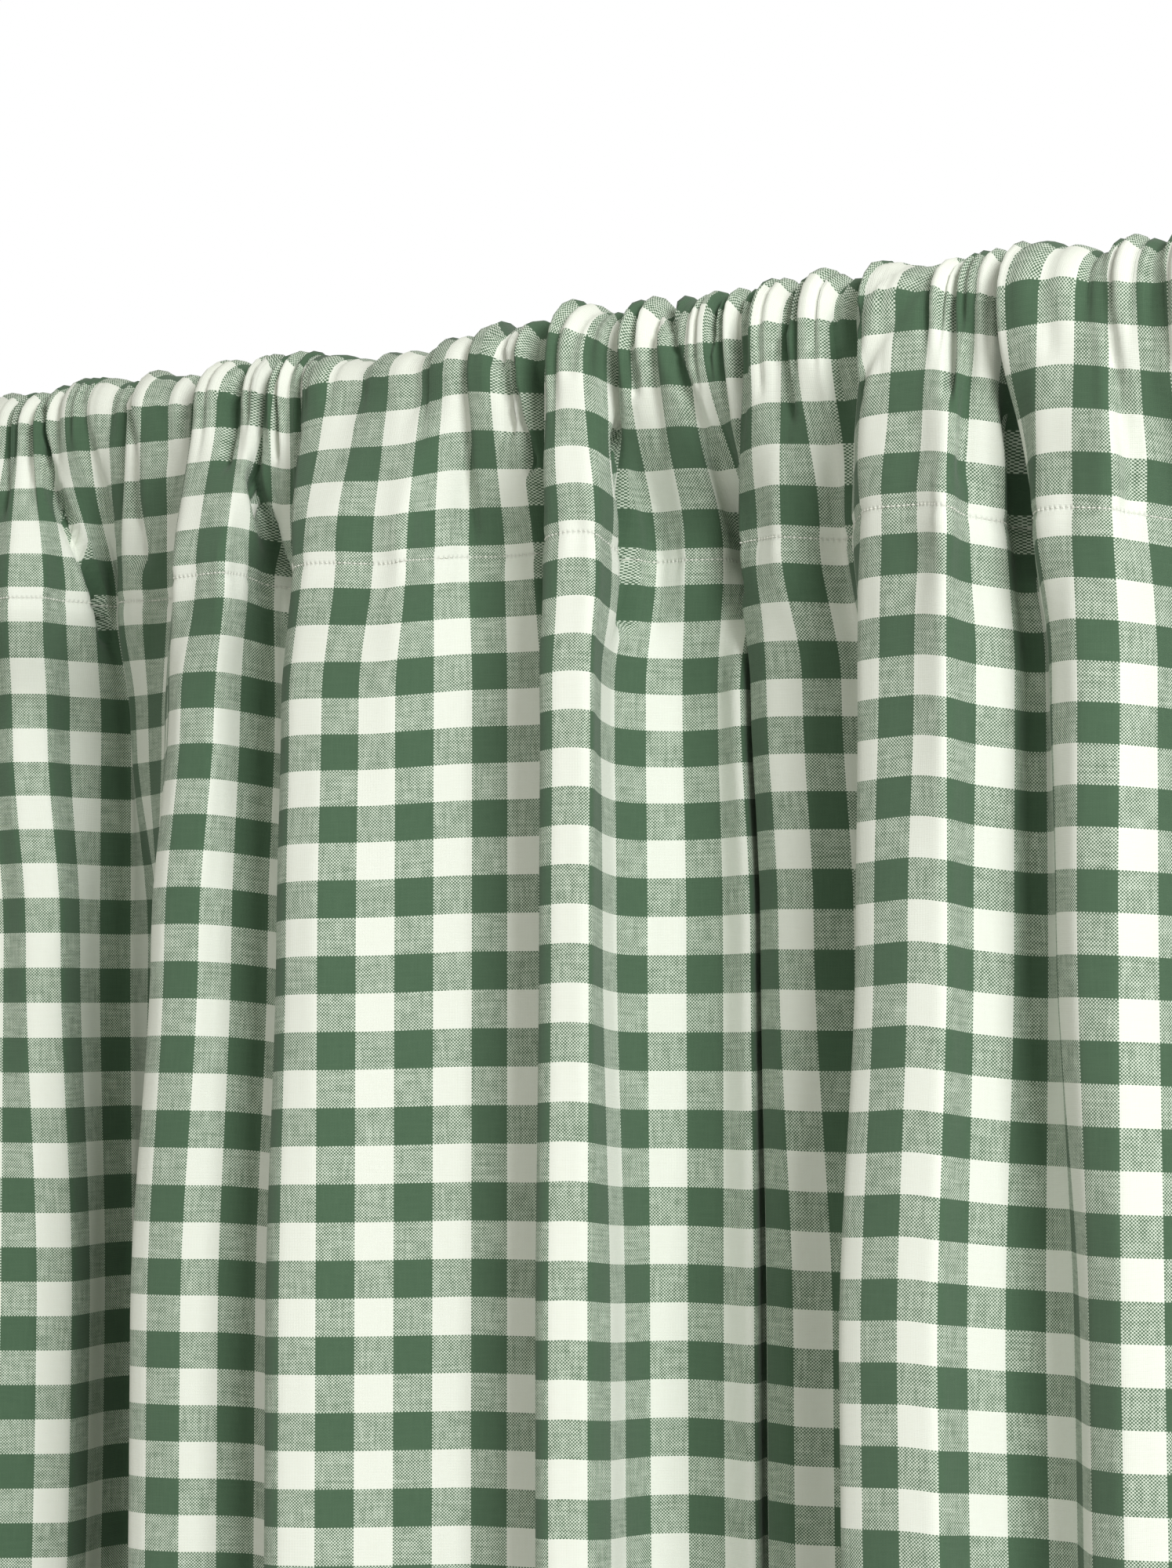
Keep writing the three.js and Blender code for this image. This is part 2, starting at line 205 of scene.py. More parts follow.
# %% Gathers on the rod, in millimetres
GATHER_COLUMNS = ["width", "along", "out", "puff", "rise"]
GATHERS = [
    # left end
    (20, 15, 1, 3, 1),
    (16, 10, 1, 4, 1),
    (24, 19, 1, 3, 1),
    (14, 9, 1, 4, 1),
    (16, 13, 2, 2, 1),
    # small gathers by the left recess
    (18, 11, 0.5, 2, 0.5),
    (4, 1.5, 3.5, 0, 0),
    (11, 6.5, 1, 1.5, 1),
    (20, 15, 1.5, 1.5, 3.5),
    (14, 12.5, 0, 0.5, 3),
    # gather with a deep crease on its left
    (4, 1.5, 4.5, 0, 0),
    (15, 12, 2.5, 1, 0.5),
    (12, 10.5, 0, 0.5, 1),
    (32, 6, 5, -1, -1.5),
    # first ridge
    (18, 14, 1.2, 1.5, 0),
    (15, 8.7, 2.5, 1.5, 2.5),
    (4, 3, 3.5, 0, 0),
    (15, 8, 1.5, 1, 1.5),
    (12, 2, 0.3, 0.5, 3),
    (5, 1.3, 5, 0, 1),
    # wide ridge
    (20, 20, 3, 1, -3),
    (21, 22, 2, 1, -2.5),
    (19, 15, 1.5, 1.5, 0),
    (3, 1.5, 3, 0, 1.5),
    (15, 13, 0.5, 1, 2.5),
    (3, 1, 3, 0, 1),
    (8, 7.5, 0, 0.5, 3.5),
    (20, 7.5, 5.5, 0, 3.5),
    # sharp ridge
    (16, 12.5, 2, 1.5, 1),
    (11, 4, -0.5, 0, 2),
    (12, 4.5, 4, 0, 1.5),
    (10, 7.5, 0.5, 1, 3.5),
    (3, 2.8, 2, 0, 3),
    (12, 9, 1, 1, 3),
    (13, 7.5, 0.3, 0.5, 4.5),
    (18, 9.5, 0, 0.5, 5),
    # two narrow gathers
    (5, 3, 4, 0, 2),
    (14, 9.5, 1, 1, 3),
    (3, 1, 3, 0, 3),
    (25, 19, 0, 1.5, 4),
    (20, 4.5, 5.5, 0, 3),
    # broad ridge
    (18, 17, 3, 1, 0.5),
    (12, 6.5, 1.5, 1, 3),
    (8, 5.5, 2.5, 0.5, 4.5),
    (14, 8, 0, 0, 5),
    (16, 2, 6, 0, 2),
    # narrow ridge
    (27, 23.5, 2, 1.5, 0),
    (3, 1.8, 3, 0, 2),
    (15, 11.5, 1, 1, 2),
    (3, 2, 2, 0, 2),
    (16, 13.5, 1, 1.5, 2.5),
    # right end
    (16, 10, 1, 3, 1),
    (20, 14, 1, 3, 1),
    (16, 11, 1, 3, 1),
    (16, 12, 1, 2, 1),
]
gathers = by_column(GATHER_COLUMNS, GATHERS)
print(len(GATHERS), "gathers, on", gathers["along"].sum(), "mm of rod")

# %% [markdown]
# ## From a table to a line
#
# To draw a fold line the angles are smoothed a little, because cloth bends and
# doesn't crease, and then followed in half-millimetre steps: each step adds the
# cosine of the angle to X and its sine to Y. That is a running sum, which numpy
# does for the whole line at once. The length of cloth is kept exactly.

# %% Read a table along the cloth
STEP = 0.5
walk = np.arange(LEFT_EDGE, RIGHT_EDGE + STEP / 2, STEP)


def row_edges(widths):
    """Where each row of a table starts and ends, as places in the cloth."""
    return LEFT_EDGE + np.concatenate([[0], np.cumsum(widths)])


def row_at(edges):
    """For each step of the walk, the number of the row that it is in."""
    return np.clip(np.searchsorted(edges, walk, side="right") - 1, 0, len(edges) - 2)


def smoothed(values, width):
    """Each value becomes the mean of its neighbours within half the width."""
    reach = int(width / STEP / 2 + 0.5)
    padded = np.pad(values, reach, mode="edge")
    return np.convolve(padded, np.ones(2 * reach + 1) / (2 * reach + 1), mode="valid")


print("steps of the walk:", len(walk))

# %% Follow the headings
BEND = 2.5  # length over which one row of a table turns into the next
ANCHOR = 250  # a place in the cloth whose position is known
ANCHOR_X = -30
ANCHOR_Y = -9
anchor_index = int(round((ANCHOR - LEFT_EDGE) / STEP))


def fold_line(angles):
    """X and Y of the cloth's line: running sums of the cosine and the sine of
    its smoothed angle, shifted so that the anchor lands where it should."""
    stepped = angles[row_at(row_edges(folds["width"]))]
    turned = np.radians(smoothed(smoothed(stepped, BEND), BEND))
    lines = []
    for heading, wanted in ((np.cos(turned), ANCHOR_X), (np.sin(turned), ANCHOR_Y)):
        steps = (heading[1:] + heading[:-1]) / 2 * STEP
        line = np.concatenate([[0], np.cumsum(steps)])
        lines.append(line - line[anchor_index] + wanted)
    return np.stack(lines)


print("width of the folds at the seam:", round(np.ptp(fold_line(folds["seam"])[0])), "mm")

# %% Follow the gathers
PUFF_BEND = 1.5
FIRST_OUT = 1  # how far the left end stands out
ANCHOR_ROD_X = -26


def eased(share):
    """Runs from 0 to 1 with no corner at either end: 3 s² - 2 s³."""
    held = np.clip(share, 0, 1)
    return held * held * (3 - 2 * held)


def gather_line():
    """Along the rod, and out from the pocket's radius, for each step: straight
    runs along the rod, and eased runs outwards with half a sine wave on top. The
    third line is how far each gather stands up above the rod."""
    edges = row_edges(gathers["width"])
    row = row_at(edges)
    share = (walk - edges[row]) / gathers["width"][row]
    along = np.interp(walk, edges, np.concatenate([[0], np.cumsum(gathers["along"])]))
    along = smoothed(along, BEND)
    outs = np.concatenate([[FIRST_OUT], gathers["out"]])
    out = outs[row] + (outs[row + 1] - outs[row]) * eased(share)
    out += gathers["puff"][row] * np.sin(np.pi * share)
    rise = smoothed(gathers["rise"][row], 2 * BEND)
    return along - along[anchor_index] + ANCHOR_ROD_X, smoothed(out, PUFF_BEND), rise


rod_along, rod_out, rod_rise = gather_line()
print("gathers stand out by up to", round(rod_out.max(), 1), "mm")

# %% Six lines, from the rod to the hem
HEM_EASE = 0.95  # the folds open a little between the lowest column and the hem
lines = np.stack([
    np.stack([rod_along, -POCKET_RADIUS - rod_out]),
    fold_line(folds["seam"]),
    fold_line(folds["top"]),
    fold_line(folds["middle"]),
    fold_line(folds["low"]),
    fold_line(folds["low"] * HEM_EASE),
])
for name, line in zip(("rod", "seam", "top", "middle", "low", "hem"), lines):
    print(f"{name:>6}: x {line[0].min():.0f} to {line[0].max():.0f}, "
          f"y {line[1].min():.0f} to {line[1].max():.0f}")

# %% [markdown]
# ## From lines to a surface
#
# A surface is a function of two parameters. Here they are the place across
# the cloth and the height below the top edge. At each height the plan of the
# cloth is a blend of the two nearest lines. A blend is a weighted sum, so all
# heights and places together are one product of two arrays.

# %% Blend the lines
TOP_LINE, MIDDLE_LINE, LOW_LINE = -93, -154, -256  # heights of the table's other columns
LINE_HEIGHTS = [ROD_HEIGHT, SEAM_HEIGHT, TOP_LINE, MIDDLE_LINE, LOW_LINE, -DROP]


def line_weights(heights):
    """How much of each line is in the plan at each height, a row per height."""
    weights = np.zeros((len(heights), len(lines)))
    weights[:, 0] = 1
    for k, (upper, lower) in enumerate(zip(LINE_HEIGHTS, LINE_HEIGHTS[1:])):
        share = eased((upper - heights) / (upper - lower))
        weights[:, k + 1] = weights[:, k] * share
        weights[:, k] *= 1 - share
    return weights


print("share of each line 30 mm down:", np.round(line_weights(np.array([-30.0]))[0], 2))

# %% The plan at any height
def at_places(values, places):
    """Values along the walk, read off at any places in the cloth."""
    return np.interp(places, walk, values)


def lines_at(places):
    """X of every line at any places in the cloth, and Y of every line."""
    return [np.stack([at_places(line[axis], places) for line in lines]) for axis in (0, 1)]


def plan(places, heights, nudge=STEP / 2):
    """X and Y of the front sheet, and the unit vector square to it that points
    to its back, each with a row per height and a column per place. The vector is
    square to the chord between the places one nudge to either side."""
    weights = line_weights(heights)
    x, y = lines_at(places)
    x_before, y_before = lines_at(places - nudge)
    x_after, y_after = lines_at(places + nudge)
    along_x = weights @ (x_after - x_before)
    along_y = weights @ (y_after - y_before)
    length = np.hypot(along_x, along_y) + 1e-9
    return weights @ x, weights @ y, -along_y / length, along_x / length


hem_y = plan(walk, np.array([-float(DROP)]))[1]
print("the hem swings between y", round(hem_y.min()), "and", round(hem_y.max()))

# %% [markdown]
# Where the cloth bends hard it also rides up: a crest takes a shorter way
# from the rod than a hollow does, so the bands of the check climb a little
# over each crest. A third short table says by how much, at four heights. Only
# the pattern moves with it, so it is taken off the UV map further down.

# %% Lift of the pattern
LIFT_COLUMNS = ["place", "rod", "seam", "middle", "low"]
LIFTS = [
    (LEFT_EDGE, 0, 0, 0, 0),
    (20, 0, 0.8, 1, -1.4),
    (60, 0, 0.5, 0.8, -1),
    (85, 0, -0.8, 1, -1),
    (145, 1.3, 1, 2.2, -0.5),
    (160, 0.5, 1, 1.5, -0.6),
    (178, -2.6, -2.4, -1, -2),
    (192, -2.6, -1, 0.5, 0),
    (212, 0, 1, 2.3, 1.3),
    (235, -0.5, 0, 2.6, 1.4),
    (258, 3, 2.9, 3.9, 1.8),
    (280, 0.5, 2.6, 3.9, 2),
    (300, 3, 3.6, 4.5, 2.8),
    (316, 4.2, 5.4, 5.6, 3.8),
    (332, 0, 1.7, 3.5, 2),
    (345, -1.5, 0, 2.5, 1.2),
    (360, -1.5, -0.3, 2.7, 1),
    (378, -2, 0, 3.2, 0.7),
    (405, -1.5, 2.2, 4.4, 1.2),
    (415, 1, 2.2, 4.4, 0.5),
    (435, 0, 1.3, 4.2, 0.5),
    (450, 0.5, 1.5, 4, 1),
    (475, 3.5, 4, 4, 2),
    (492, 3.5, 3.9, 5.2, 3),
    (505, 2, 1.8, 3.5, 1.6),
    (520, 0.5, 0, 1.9, 0),
    (530, 0, -0.2, 1.4, -0.6),
    (557, 1.6, 1, 1.6, -0.2),
    (572, -0.5, -0.5, 0.9, -0.3),
    (590, -2, -2, 0, -0.8),
    (RIGHT_EDGE, 0, 0, 0, 0),
]
LIFT_HEIGHTS = [-DROP, -230, -130, SEAM_HEIGHT, ROD_HEIGHT]
LIFT_BEND = 8
lift_table = by_column(LIFT_COLUMNS, LIFTS)


def lift(places, heights):
    """How far the pattern rides up, a row per height and a column per place: the
    table's column for the nearest two heights, in proportion. None at the hem."""
    columns = [np.zeros(len(places))]
    for name in LIFT_COLUMNS[:0:-1]:
        line = np.interp(walk, lift_table["place"], lift_table[name])
        columns.append(at_places(smoothed(line, LIFT_BEND), places))
    rank = np.interp(heights, LIFT_HEIGHTS, np.arange(len(LIFT_HEIGHTS)))
    lower = np.minimum(rank.astype(int), len(columns) - 2)
    share = (rank - lower)[:, None]
    columns = np.array(columns)
    return columns[lower] * (1 - share) + columns[lower + 1] * share


print("most that the pattern rides up:", lift_table["middle"].max(), "mm")

# %% [markdown]
# ## Creases of the heading
#
# Crowded on the rod, the cloth also creases. A crease is a trough along a
# line on the cloth, and where one gather leans over its neighbour it has a
# steep side and a long one. So each row below gives a line from an upper to a
# lower place and height, the depth, and how far it reaches to either side. Short
# ripples fill the rest of the top edge, as on any cloth pushed up on a rod.

# %% Table of the creases
CREASE_COLUMNS = ["place", "height", "to_place", "to_height", "depth", "left", "right"]
CREASES = [
    # left end and small gathers
    (-70, 4, -66, -40, 2.5, 5, 5),
    (-48, 4, -50, -30, 3, 6, 4),
    (-24, 4, -20, -45, 2.5, 5, 6),
    (2, 5, 5, -30, 2.2, 5, 3),
    (24, 6, 30, -24, 7, 5, 2.5),
    (30, -24, 46, -64, 7.5, 6, 3),
    (46, 6, 48, -12, 1.5, 4, 4),
    (48, -6, 60, -48, 2, 6, 4),
    (62, 6, 60, -10, 2, 4, 3),
    (73, 6, 79, -46, 4, 8, 2.5),
    (88, 4, 90, -20, 1.5, 4, 4),
    (108, 5, 112, -52, 9, 9, 6),
    # first ridge
    (145, 7, 145, -24, 5, 3.5, 3),
    (161, 6, 162, -30, 7, 4, 2.5),
    (162, -30, 181, -66, 8, 7, 3),
    (171, 7, 173, -22, 4.5, 3.5, 2.5),
    (188, 7, 190, -30, 2, 4, 4),
    (198, 7, 202, -62, 4.5, 6, 2.5),
    # wide ridge
    (217, 8, 216, -14, 1.2, 5, 5),
    (236, 8, 238, -14, 1.6, 4, 4),
    (258, 7, 261, -48, 2.5, 8, 3),
    (270, 8, 275, -22, 5, 4, 2.5),
    (278, -4, 281, -32, 6, 4, 3),
    (287, 5, 289, -64, 8, 9, 4),
    # sharp ridge
    (294, 8, 292, -18, 5, 3, 3),
    (302, 8, 300, -22, 5, 3.5, 3),
    (318, 6, 316, -10, 1.5, 4, 4),
    (335, 6, 337, -30, 8, 5, 3),
    (337, -30, 342, -72, 6, 7, 4),
    (349, 7, 351, -16, 4.5, 3.5, 3),
    (360, 6, 372, -25, 5, 5, 3.5),
    (372, -25, 379, -58, 4.5, 7, 4),
    (370, 8, 370, -10, 2, 4, 3),
    (383, 9, 383, -6, 5, 3, 3),
    (388, 5, 388, -22, 2.5, 5, 3),
    (398, 6, 401, -64, 6, 7, 2.5),
    # two narrow gathers
    (412, 8, 413, -20, 2, 3, 3),
    (424, 9, 425, -4, 5, 3, 2.5),
    (422, 2, 425, -26, 3, 4, 3),
    (440, 6, 445, -56, 5, 5, 7),
    (451, 2, 450, -64, 5.5, 9, 4),
    # broad ridge
    (472, 9, 458, 0, 1.2, 4, 4),
    (482, 8, 463, -14, 1.6, 4, 4),
    (492, 6, 468, -26, 1.8, 5, 5),
    (500, 7, 500, -26, 3.5, 3.5, 3),
    (509, 7, 508, -46, 2, 5, 5),
    (521, 7, 524, -22, 7, 7, 3.5),
    (524, -22, 532, -66, 6.5, 9, 5),
    # narrow ridge and right end
    (535, 10, 533, 3, 2.5, 3, 3),
    (551, 7, 553, -20, 1.5, 4, 4),
    (566, 7, 572, -22, 1.8, 6, 4),
    (572, -22, 577, -54, 2.5, 6, 4),
    (586, 7, 589, -24, 2, 5, 4),
    (606, 5, 604, -40, 2.5, 6, 4),
    (628, 5, 632, -30, 2, 5, 5),
    (648, 5, 645, -45, 2, 6, 4),
]
creases = by_column(CREASE_COLUMNS, CREASES)
print(len(CREASES), "creases, the deepest", creases["depth"].max(), "mm")

# %% Ripples at the rod
RIPPLE = 2.4  # most that a ripple is deep
RIPPLE_LENGTH = 8.3  # mean distance between two of them
RIPPLE_SHIFTS = [(2.2, 19), (1.4, 7.7)]  # slow waves that shift them: size, length
RIPPLE_DEPTHS = (0.7, 0.3, 11)  # share of the depth: mean, swing, length
RIPPLE_REACH = 20  # mean distance below the rod at which they have faded
RIPPLE_REACHES = (1, 0.45, 9.1)  # share of the reach: mean, swing, length


def swinging(places, mean, swing, length):
    """A value that swings slowly about its mean along the cloth."""
    return mean + swing * np.sin(places / length)


def ripples(places, heights):
    """Short ripples: the third power of a raised sine, which makes narrow troughs.
    Their phase, their depth and their reach below the rod are all uneven."""
    phase = 2 * np.pi * places / RIPPLE_LENGTH
    for shift, length in RIPPLE_SHIFTS:
        phase = phase + shift * np.sin(places / length)
    trough = (0.5 + 0.5 * np.sin(phase)) ** 3 * swinging(places, *RIPPLE_DEPTHS)
    reach = RIPPLE_REACH * swinging(places, *RIPPLE_REACHES)
    below = np.maximum(ROD_HEIGHT - heights, 0)[:, None]
    return RIPPLE * trough[None, :] * eased(1 - below / reach[None, :])


print("about", round(np.ptp(walk) / RIPPLE_LENGTH), "ripples")

# %% Depth of the creases and ripples
CREASE_FADE = 7  # length over which a crease starts and ends
ROD_RADIUS = 4.2  # of a thin rod and the cloth's own thickness
ROOM_BELOW_ROD = 0.6  # how much deeper a crease may be for each mm below the rod


def crease_depth(places, heights):
    """How deep the creases lie at each height and place: for each crease a line of
    places down the cloth, an eased fall to it from either side, and eased ends, and
    of these and the ripples the deepest. None reaches as far in as the rod."""
    depth = ripples(places, heights)
    for k in range(len(CREASES)):
        row = {name: column[k] for name, column in creases.items()}
        share = (row["height"] - heights) / (row["height"] - row["to_height"])
        centre = row["place"] + (row["to_place"] - row["place"]) * np.clip(share, 0, 1)
        start = eased((row["height"] + CREASE_FADE - heights) / CREASE_FADE)
        end = eased((heights - row["to_height"] + CREASE_FADE) / CREASE_FADE)
        aside = places[None, :] - centre[:, None]
        reach = np.where(aside < 0, row["left"], row["right"])
        trough = row["depth"] * (start * end)[:, None] * eased(1 - np.abs(aside) / reach)
        depth = np.maximum(depth, trough)
    room = at_places(rod_out, places) + POCKET_RADIUS - ROD_RADIUS
    below_rod = np.maximum(ROD_HEIGHT - heights, 0)[:, None]
    return np.minimum(depth, room + ROOM_BELOW_ROD * below_rod)


print("deepest at the rod:", round(crease_depth(walk, np.array([float(ROD_HEIGHT)])).max(), 1), "mm")

# %% [markdown]
# The stitching pulls the two layers of the pocket together, so the cloth dips
# along the seam and puckers on both sides of it. Sine waves of unequal length
# along the seam give the puckers, and a bell curve across it keeps them there.

# %% Dip, puckers and wrinkles
SEAM_DIP = 0.55
DIP_WIDTH = 1.6
PUCKER = 0.38
PUCKER_WIDTH = 9
PUCKER_LENGTHS = [5.3, 8.1, 13.7]
WRINKLE = 0.08  # size of each of the waves that wrinkle the heading
WRINKLE_MIDDLE = 10  # how far above the seam they are strongest
WRINKLE_WIDTH = 55
WRINKLES = 14
WRINKLE_LIMITS = ([-0.5, -0.25, 0], [0.5, 0.25, 6.28])  # radians a mm across, down, and phase
rng = np.random.default_rng(7)
wrinkle_waves = rng.uniform(*WRINKLE_LIMITS, (WRINKLES, 3))


def bell(distance, width):
    """A bell curve: 1 at no distance, and nearly 0 at twice the width."""
    return np.exp(-((distance / width) ** 2))


def seam_height(places):
    """The height of the pocket's stitching, which rides up with the cloth."""
    return STITCHING + lift(places, np.array([float(SEAM_HEIGHT)]))[0]


def small_relief(places, heights):
    """The dip and the puckers along the seam, and faint wrinkles in the heading:
    sums of sine waves, with their sizes faded by the distance from the seam."""
    away = heights[:, None] - seam_height(places)[None, :]
    waves = [np.sin(2 * np.pi * places / length + length) for length in PUCKER_LENGTHS]
    pucker = sum(waves) / len(waves)
    relief = SEAM_DIP * bell(away, DIP_WIDTH) + PUCKER * bell(away, PUCKER_WIDTH) * pucker[None, :]
    wrinkled = WRINKLE * bell(away - WRINKLE_MIDDLE, WRINKLE_WIDTH)
    for across, down, phase in wrinkle_waves:
        wave = np.sin(across * places[None, :] + down * heights[:, None] + phase)
        relief = relief + wrinkled * wave
    return relief


seam_relief = small_relief(walk, np.array([float(STITCHING)]))
print("relief along the seam in mm:", round(seam_relief.min(), 2), "to", round(seam_relief.max(), 2))

# %% [markdown]
# ## The whole sheet
#
# One sheet makes the panel, as in life: it starts behind the bottom hem, turns
# under it, rises up the front, goes over the rod and comes down the back
# to the pocket's stitching. Across, it starts behind the left side hem and ends
# behind the right one. Each of those stretches is a block of rows or columns.

# %% Rows up the front
NEAR_SEAM = SEAM_HEIGHT - 6
ROW_BANDS = [  # from, to, rows: far apart below, close in the heading
    (-DROP, LOW_LINE, 8),
    (LOW_LINE, TOP_LINE, 16),
    (TOP_LINE, NEAR_SEAM, 11),
    (NEAR_SEAM, ROD_HEIGHT, 31),
]
bands = [np.linspace(low, high, rows, endpoint=False) for low, high, rows in ROW_BANDS]
front_heights = np.concatenate([*bands, [ROD_HEIGHT]])
print("rows up the front:", len(front_heights))

# %% Columns across the cloth
COLUMNS = 556
HEM_COLUMNS = 4  # more of them in each side hem
COLUMN_CARE = 50  # how much closer the columns stand where the cloth bends
CREASE_CARE = 1.2  # and where a crease has a steep side
CREASE_HEIGHTS = np.array([0.0, -20.0, -45.0])  # where that is measured


def column_places():
    """Places across the cloth, closer together where any of the lines bends or a
    crease is steep. The running sum of the closeness is cut into equal parts."""
    bends = sum(np.hypot(*np.gradient(np.gradient(line, axis=1), axis=1)) for line in lines)
    steep = np.abs(np.gradient(crease_depth(walk, CREASE_HEIGHTS), axis=1)).sum(axis=0)
    close = 1 + COLUMN_CARE * smoothed(bends, 4 * BEND) + CREASE_CARE * smoothed(steep, 2 * BEND)
    total = np.cumsum(close) - close[0]
    return np.interp(np.linspace(0, total[-1], COLUMNS), total, walk)


def sheet_columns():
    """Places across, how many layers deep each column lies (the side hems), and
    its place in the flat cloth, which runs on into the hems."""
    across = column_places()
    hem = np.linspace(0, SIDE_HEM, HEM_COLUMNS + 1)[1:]
    places = np.concatenate([LEFT_EDGE + hem[::-1], across, RIGHT_EDGE - hem])
    layers = np.concatenate([np.ones(len(hem)), np.zeros(len(across)), np.ones(len(hem))])
    cloth = np.concatenate([LEFT_EDGE - hem[::-1], across, RIGHT_EDGE + hem])
    return places, layers, cloth


gaps = np.diff(column_places())
print("columns stand", round(gaps.min(), 2), "to", round(gaps.max(), 2), "mm apart")

# %% Front of the sheet
CREASE_CHORD = 6  # creases go square to a chord this far to either side


def sheet_points(places, heights, depth, relief=1):
    """Points of the front sheet, moved back square to the cloth by depth and the
    relief, and square to the wider fold by the creases, which would otherwise cross
    one another where the cloth bends hard."""
    x, y, back_x, back_y = plan(places, heights)
    fold_x, fold_y = plan(places, heights, CREASE_CHORD)[2:]
    back = depth + relief * small_relief(places, heights)
    crease = crease_depth(places, heights)
    x = x + back_x * back + fold_x * crease
    y = y + back_y * back + fold_y * crease
    return np.stack([x, y, np.broadcast_to(heights[:, None], x.shape)], axis=-1)


seam_points = sheet_points(walk, np.array([float(SEAM_HEIGHT)]), 0)
print("the seam runs from x", round(seam_points[0, 0, 0]), "to", round(seam_points[0, -1, 0]))

# %% Over the rod
ROD_ARC = POCKET_RADIUS + 2  # mean radius, to turn an angle into a length of cloth
CREASE_END = 160  # angle behind the rod at which the creases have ended
CREASE_END_EASE = 100  # and over how many degrees they do


def rod_points(places, angles, inwards):
    """Points on the cloth round the rod: angle 0 is the front, 180 the back. Above
    the rod the gathers stand up by their rise, and behind it the creases end."""
    turn = np.radians(angles)[:, None]
    creased = crease_depth(places, ROD_HEIGHT + ROD_ARC * np.radians(angles))
    radius = POCKET_RADIUS + at_places(rod_out, places) + at_places(rod_rise, places) * np.sin(turn) ** 2
    radius = radius - inwards - creased * eased((CREASE_END - angles) / CREASE_END_EASE)[:, None]
    x = np.broadcast_to(at_places(rod_along, places), radius.shape)
    return np.stack([x, -radius * np.cos(turn), ROD_HEIGHT + radius * np.sin(turn)], axis=-1)


top_edge = rod_points(walk, np.array([90.0]), 0)[0, :, 2]
print("the top edge lies between z", round(top_edge.min(), 1), "and", round(top_edge.max(), 1))

# %% Back of the pocket
SEAM_ROOM = 0.9  # room for the puckers between the pocket's back and its front
LEAN = 2  # most by which the pocket's back leans off a steep wall
HEM_LAYERS = 2  # how many layers further back it lies behind a side hem
HEM_REACH = 1.5  # and up to how many widths of the hem from the edge


def pocket_back(places, heights, layers):
    """Points of the pocket's back: the smooth front sheet's own back, moved away by as
    much as the rod holds the two apart, in a share that eases to 0 at the seam.
    Halfway down it leans off steep walls, so that the two don't cross."""
    edge = np.minimum(places - LEFT_EDGE, RIGHT_EDGE - places)
    behind = 1 + HEM_LAYERS * eased(HEM_REACH - edge / SIDE_HEM)
    depth = LAYER * (behind - layers) + SEAM_ROOM
    at_rod = sheet_points(places, np.array([float(ROD_HEIGHT)]), depth, 0)
    apart = rod_points(places, np.array([180.0]), LAYER * layers) - at_rod
    share = eased((ROD_HEIGHT - heights) / (ROD_HEIGHT - SEAM_HEIGHT))[:, None, None]
    points = sheet_points(places, heights, depth, 0) + apart * (1 - share)
    points[..., 0] += LEAN * plan(places, heights)[2] * (4 * share * (1 - share))[..., 0]
    points[..., 2] = heights[:, None]
    return points


middle_back = pocket_back(walk, np.array([(ROD_HEIGHT + SEAM_HEIGHT) / 2]), 0)[..., 1]
print("halfway down, the pocket's back reaches y", round(middle_back.max(), 1))

# %% The whole grid
TURNED_ROWS = 3  # behind the bottom hem
ROD_ROWS = 12
BACK_ROWS = 8


def cloth_grid():
    """The grid of the whole sheet, and the place of each point in the flat cloth:
    across it, and down it with the pattern's lift taken off."""
    places, layers, cloth = sheet_columns()
    turned_up = np.linspace(-DROP + BOTTOM_HEM, -DROP, TURNED_ROWS)
    over = np.linspace(0, 180, ROD_ROWS)[1:-1]
    falling = np.linspace(ROD_HEIGHT, POCKET_END, BACK_ROWS)
    blocks = [
        sheet_points(places, turned_up, LAYER * (1 + layers)),
        sheet_points(places, front_heights, LAYER * layers),
        rod_points(places, over, LAYER * layers),
        pocket_back(places, falling, layers),
    ]
    down = np.concatenate([
        -2 * DROP - turned_up,
        front_heights,
        ROD_HEIGHT + np.radians(over) * ROD_ARC,
        ROD_HEIGHT + math.pi * ROD_ARC + (ROD_HEIGHT - falling),
    ])
    lifted = down[:, None] - lift(places, down)
    return np.concatenate(blocks), np.broadcast_to(cloth, lifted.shape), lifted


points, cloth_across, cloth_down = cloth_grid()
print("grid:", points.shape[:2], "points")

# %% [markdown]
# ## Into a mesh
#
# `foreach_set` hands whole arrays to Blender, which is far quicker than adding
# faces one by one. The UV map holds each point's place in the flat cloth,
# counted in checks, so the weave follows the cloth into every fold. Solidify
# then gives the sheet its thickness, towards its back.

